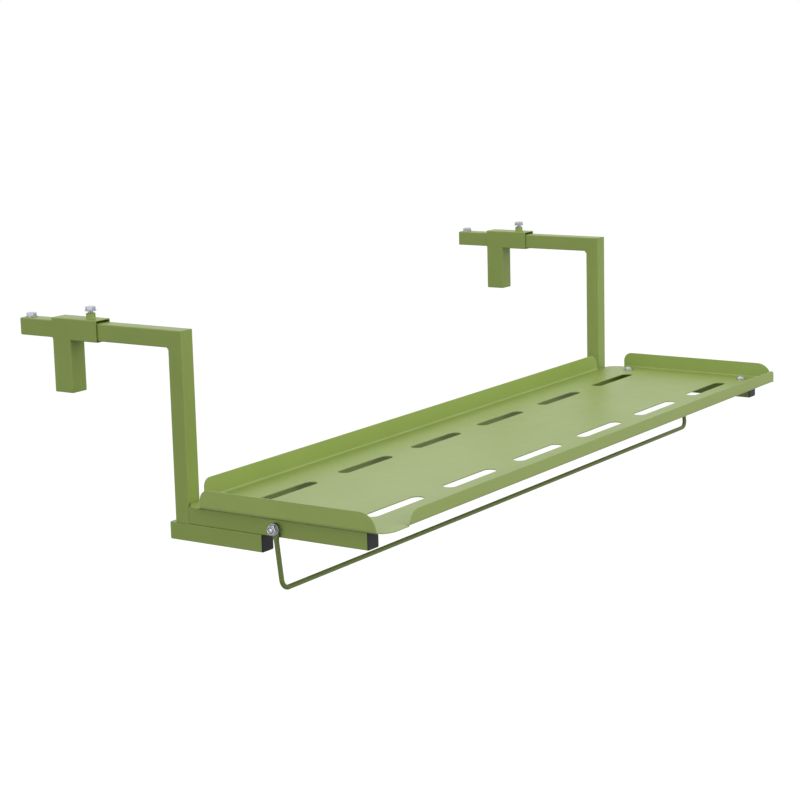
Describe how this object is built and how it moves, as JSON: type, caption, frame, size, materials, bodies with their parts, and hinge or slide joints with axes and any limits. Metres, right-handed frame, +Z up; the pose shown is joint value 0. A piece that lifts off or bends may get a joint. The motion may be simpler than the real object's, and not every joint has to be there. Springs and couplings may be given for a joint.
{
  "type": "balcony railing bar table",
  "caption": "Bar table that hangs on a balcony railing: slotted sheet tray on tube brackets, with sliding clamps and a swinging hanging rail.",
  "frame": {"origin": "midway between the two brackets, at the posts' rear faces, at the height of the railing's top edge", "axes": "+X along the tray to the right bracket, -Y to the user, +Y over the railing, +Z up"},
  "size_m": [1.2406, 0.6393, 0.3666],
  "materials": {
    "green_powder_coat": "satin powder coat",
    "zinc_plated_steel": "bright zinc plate",
    "black_plastic": "fine moulded grain"
  },
  "bodies": {
    "frame": {"left_rail_arm": "green_powder_coat", "left_post": "green_powder_coat", "left_tray_arm": "green_powder_coat", "left_foot_tube": "green_powder_coat", "left_corner_weld": "green_powder_coat", "left_end_caps": "black_plastic", "left_stop_bolt": "zinc_plated_steel", "left_stop_washer": "zinc_plated_steel", "left_pivot_bolt": "zinc_plated_steel", "left_pivot_washers": "zinc_plated_steel", "left_pivot_nut": "zinc_plated_steel", "right_rail_arm": "green_powder_coat", "right_post": "green_powder_coat", "right_tray_arm": "green_powder_coat", "right_foot_tube": "green_powder_coat", "right_corner_weld": "green_powder_coat", "right_end_caps": "black_plastic", "right_stop_bolt": "zinc_plated_steel", "right_stop_washer": "zinc_plated_steel", "right_pivot_bolt": "zinc_plated_steel", "right_pivot_washers": "zinc_plated_steel", "right_pivot_nut": "zinc_plated_steel", "cross_tube": "green_powder_coat", "tray": "green_powder_coat", "tray_bolts": "zinc_plated_steel", "tray_washers": "zinc_plated_steel", "tray_spacers": "zinc_plated_steel", "tray_rivet_nuts": "zinc_plated_steel"},
    "left_clamp": {"left_clamp_sleeve": "green_powder_coat", "left_clamp_leg": "green_powder_coat", "left_leg_plate": "green_powder_coat", "left_lock_boss": "green_powder_coat"},
    "left_lock_washer": {"left_lock_washer": "zinc_plated_steel"},
    "left_lock_screw": {"left_lock_screw": "zinc_plated_steel"},
    "right_clamp": {"right_clamp_sleeve": "green_powder_coat", "right_clamp_leg": "green_powder_coat", "right_leg_plate": "green_powder_coat", "right_lock_boss": "green_powder_coat"},
    "right_lock_washer": {"right_lock_washer": "zinc_plated_steel"},
    "right_lock_screw": {"right_lock_screw": "zinc_plated_steel"},
    "hanging_rail": {"hanging_rail": "green_powder_coat"}
  },
  "joints": [
    {"name": "left_clamp_slide", "type": "slide", "parent": "frame", "child": "left_clamp", "axis": [0, 1, 0], "range_m": [-0.12, 0.044]},
    {"name": "left_lock_travel", "type": "slide", "parent": "left_clamp", "child": "left_lock_washer", "axis": [0, 0, 1], "range_m": [0, 0.0063]},
    {"name": "left_lock_turn", "type": "hinge", "parent": "left_lock_washer", "child": "left_lock_screw", "pos_m": [-0.5925, 0.1495, 0.0424], "axis": [0, 0, 1], "range_deg": [0, 1800]},
    {"name": "right_clamp_slide", "type": "slide", "parent": "frame", "child": "right_clamp", "axis": [0, 1, 0], "range_m": [-0.12, 0.044]},
    {"name": "right_lock_travel", "type": "slide", "parent": "right_clamp", "child": "right_lock_washer", "axis": [0, 0, 1], "range_m": [0, 0.0063]},
    {"name": "right_lock_turn", "type": "hinge", "parent": "right_lock_washer", "child": "right_lock_screw", "pos_m": [0.5925, 0.1495, 0.0424], "axis": [0, 0, 1], "range_deg": [0, 1800]},
    {"name": "hanging_rail_swing", "type": "hinge", "parent": "frame", "child": "hanging_rail", "pos_m": [0, -0.177, -0.2335], "axis": [1, 0, 0], "range_deg": [-69.3, 63.7]}
  ],
  "couplings": [
    {"joint": "left_lock_travel", "follows": "left_lock_turn", "m_per_rad": 0.00019894},
    {"joint": "right_lock_travel", "follows": "right_lock_turn", "m_per_rad": 0.00019894}
  ]
}
